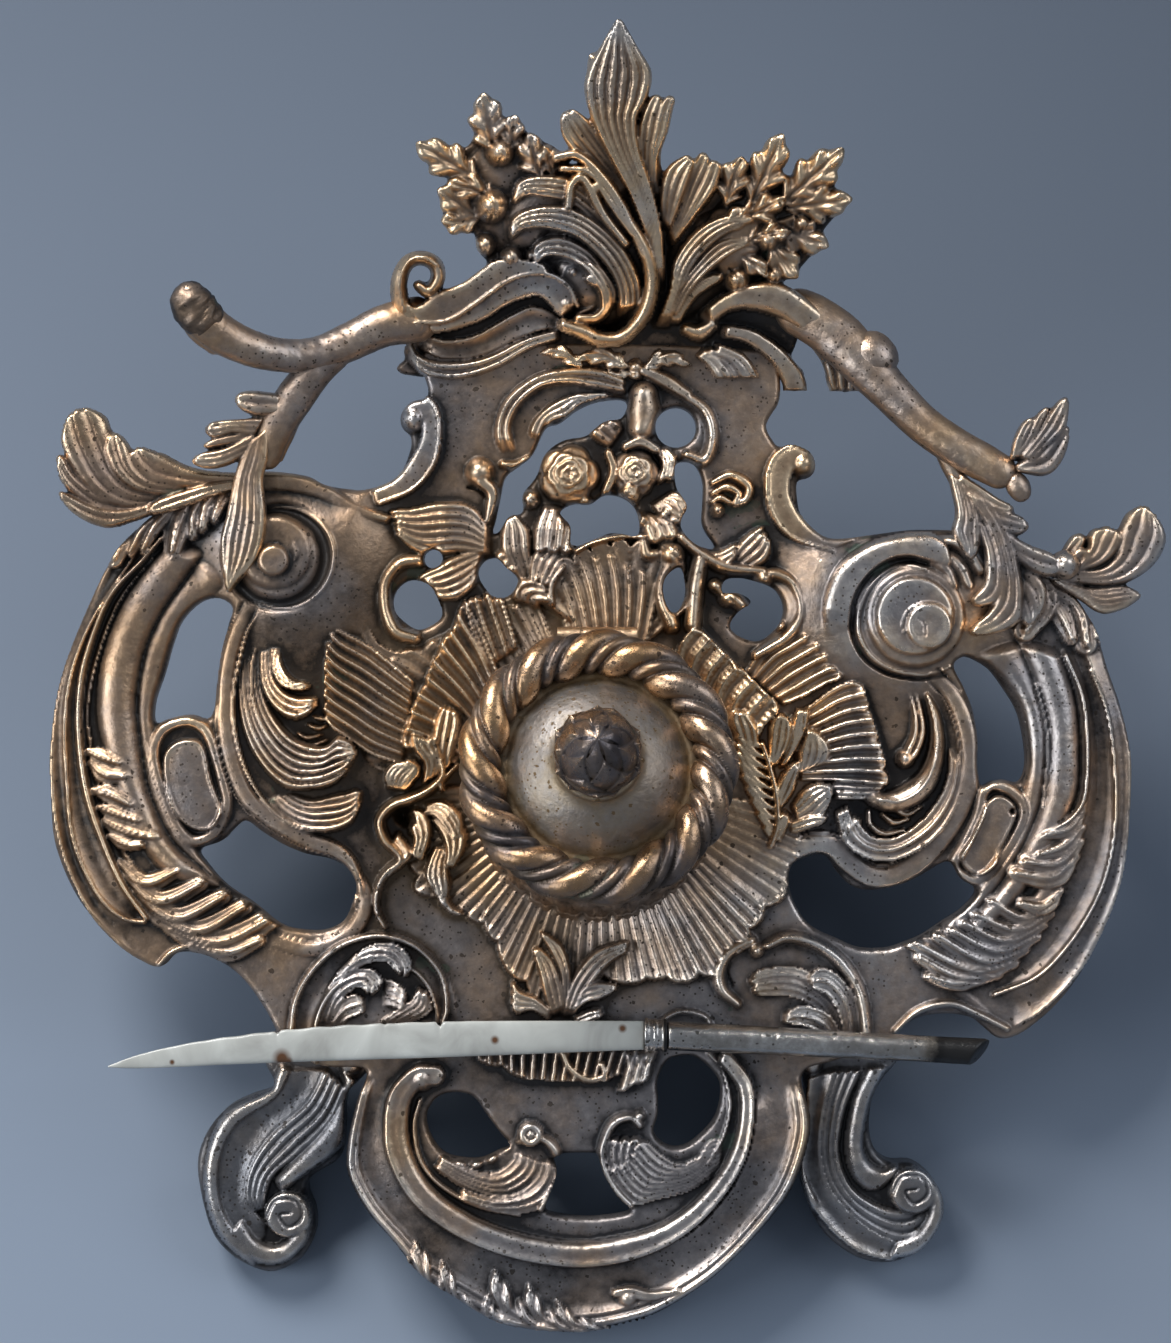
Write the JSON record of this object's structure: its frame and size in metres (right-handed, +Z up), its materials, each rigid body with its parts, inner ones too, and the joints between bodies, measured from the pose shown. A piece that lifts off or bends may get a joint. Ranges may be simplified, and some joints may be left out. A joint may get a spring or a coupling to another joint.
{
  "type": "desk inkstand",
  "caption": "Rocaille desk inkstand: sloping openwork tray on scroll feet, hinged domed inkwell, leafy crest with branch pen rests and a loose pen.",
  "frame": {"origin": "middle of the footprint, on the table", "axes": "+Z up, +Y to the back where the crest stands, +X to the right as seen from the front"},
  "size_m": [0.248, 0.2692, 0.1159],
  "materials": {
    "bronze": "aged, rubbed bright on the high parts",
    "dark_bronze": "dark patina",
    "steel": "dull",
    "glass": "clear",
    "pearl": "mother-of-pearl",
    "silver": "tarnished silver"
  },
  "bodies": {
    "stand": {"tray_plate": "bronze", "border_left": "bronze", "border_right": "bronze", "border_leaf_left": "bronze", "border_leaf_right": "bronze", "medallion_left": "bronze", "medallion_right": "bronze", "shoulder_volute_left": "bronze", "shoulder_volute_right": "bronze", "inner_rim_left": "bronze", "inner_rim_right": "bronze", "rocaille_left": "bronze", "rocaille_right": "bronze", "shell_surround": "bronze", "lower_scroll_left": "bronze", "lower_scroll_right": "bronze", "front_apron": "dark_bronze", "apron_shell_left": "bronze", "apron_shell_right": "bronze", "front_foot_left": "dark_bronze", "front_foot_right": "dark_bronze", "front_foot_screw_left": "steel", "front_foot_screw_right": "steel", "rear_leg_left": "dark_bronze", "rear_leg_right": "dark_bronze", "rear_leg_screw_left": "steel", "rear_leg_screw_right": "steel", "back_frame": "bronze", "frame_screw_left": "steel", "frame_screw_right": "steel", "rose_garland": "bronze", "crest_plate": "bronze", "crest_screw_left": "steel", "crest_screw_right": "steel", "crest_cornice": "bronze", "crest_scroll": "bronze", "crest_arm": "bronze", "crest_plume": "bronze", "leaf_spray_left": "bronze", "leaf_spray_right": "bronze", "pen_branch_left": "bronze", "pen_branch_right": "bronze", "branch_leaf_left": "bronze", "branch_leaf_right": "bronze", "well_body": "bronze", "well_screw_left": "steel", "well_screw_right": "steel", "ink_liner": "glass", "hinge_pin": "steel"},
    "lid": {"lid_dome": "bronze", "lid_knuckle": "bronze", "rope_ring": "bronze", "finial": "bronze", "finial_nut": "steel"},
    "pen": {"pen_blade": "pearl", "pen_ferrule": "silver", "pen_tube": "silver"}
  },
  "joints": [
    {"name": "lid_hinge", "type": "hinge", "parent": "stand", "child": "lid", "pos_m": [-0.00235, 0.0116, 0.06064], "axis": [-1, 0, 0], "range_deg": [0, 100]},
    {"name": "pen_lift", "type": "slide", "parent": "stand", "child": "pen", "axis": [0, 0, 1], "range_m": [0, 0.04]}
  ]
}
